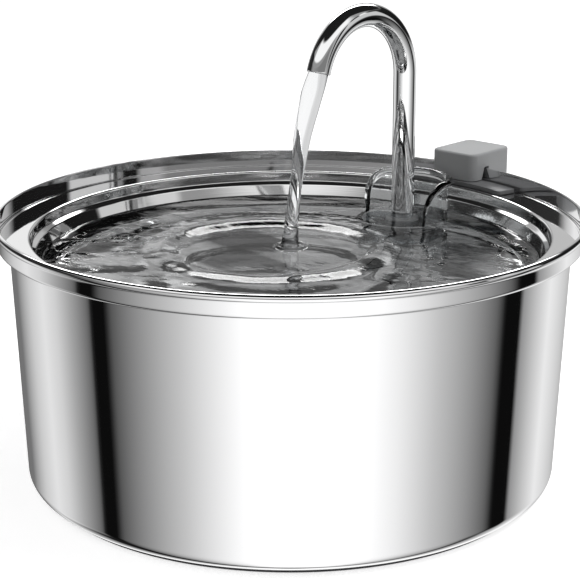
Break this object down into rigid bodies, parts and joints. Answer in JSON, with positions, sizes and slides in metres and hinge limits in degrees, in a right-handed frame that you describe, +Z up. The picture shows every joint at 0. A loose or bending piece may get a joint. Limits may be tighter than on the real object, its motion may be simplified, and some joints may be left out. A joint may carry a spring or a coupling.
{
  "type": "pet water fountain",
  "caption": "Round steel pet fountain: deep mirror bowl, drop-in drinking tray, swivelling gooseneck spout, clear overflow housing, hidden pump and filter, grey rim clip.",
  "frame": {"origin": "centre of the bowl's base ring on the table", "axes": "+Z up along the bowl axis, +Y from the bowl axis towards the faucet and the rim clip, +X to the right"},
  "size_m": [0.2316, 0.248, 0.1828],
  "materials": {
    "bowl_steel": "mirror polished stainless steel",
    "tray_steel": "mirror polished stainless steel",
    "faucet_chrome": "mirror chrome",
    "ring_rubber": "matte",
    "clear_plastic": "clear gloss plastic",
    "strainer_plastic": "clear gloss plastic",
    "seal_rubber": "matte",
    "white_plastic": "satin",
    "filter_foam": "open foam",
    "carbon": "granular",
    "riser_silicone": "satin silicone",
    "pump_plastic": "fine texture",
    "core_steel": "stacked sheets",
    "coil_copper": "enamelled wire",
    "potting_resin": "cast resin",
    "shaft_ceramic": "polished",
    "magnet_ferrite": "ground",
    "impeller_plastic": "satin",
    "pump_foam": "open foam",
    "clip_grey": "matte"
  },
  "bodies": {
    "tank": {"outer_bowl": "bowl_steel", "base_ring": "ring_rubber", "pump_body": "pump_plastic", "stator_core": "core_steel", "stator_coil": "coil_copper", "potting_cap": "potting_resin", "cord_gland": "seal_rubber", "rear_bush": "seal_rubber", "impeller_shaft": "shaft_ceramic", "suction_cups": "seal_rubber"},
    "tray": {"drinking_tray": "tray_steel", "overflow_housing": "clear_plastic", "housing_gasket": "seal_rubber", "housing_nut": "white_plastic", "strainer_disc": "strainer_plastic", "riser_tube": "riser_silicone"},
    "filter": {"filter_lid": "white_plastic", "filter_basket": "white_plastic", "filter_foam": "filter_foam", "carbon_filter": "carbon"},
    "plug": {"faucet_plug": "white_plastic", "faucet_o_rings": "seal_rubber"},
    "faucet": {"faucet_tube": "faucet_chrome"},
    "rotor": {"rotor_magnet": "magnet_ferrite", "impeller": "impeller_plastic"},
    "cover": {"pump_cover": "pump_plastic", "front_bush": "seal_rubber", "pump_foam": "pump_foam"},
    "knob": {"flow_knob": "white_plastic"},
    "clip": {"clip_block": "clip_grey", "clip_plate": "clip_grey"}
  },
  "joints": [
    {"name": "tray_lift", "type": "slide", "parent": "tank", "child": "tray", "axis": [0, 0, 1], "range_m": [0, 0.09]},
    {"name": "filter_drop", "type": "slide", "parent": "tray", "child": "filter", "axis": [0, 0, -1], "range_m": [0, 0.0062]},
    {"name": "faucet_pull", "type": "slide", "parent": "tray", "child": "plug", "axis": [0, 0, 1], "range_m": [0, 0.04]},
    {"name": "faucet_swivel", "type": "hinge", "parent": "plug", "child": "faucet", "pos_m": [0, 0.0765, 0.1], "axis": [0, 0, 1], "range_deg": [-170, 170]},
    {"name": "clip_lift", "type": "slide", "parent": "tray", "child": "clip", "axis": [0, 0, 1], "range_m": [0, 0.03]},
    {"name": "rotor_spin", "type": "hinge", "parent": "tank", "child": "rotor", "pos_m": [0, 0.0765, 0.019], "axis": [1, 0, 0], "continuous": true},
    {"name": "cover_slide", "type": "slide", "parent": "tank", "child": "cover", "axis": [-1, 0, 0], "range_m": [0, 0.02]},
    {"name": "knob_turn", "type": "hinge", "parent": "cover", "child": "knob", "pos_m": [-0.0185, 0.0765, 0.019], "axis": [1, 0, 0], "range_deg": [-90, 90]}
  ]
}
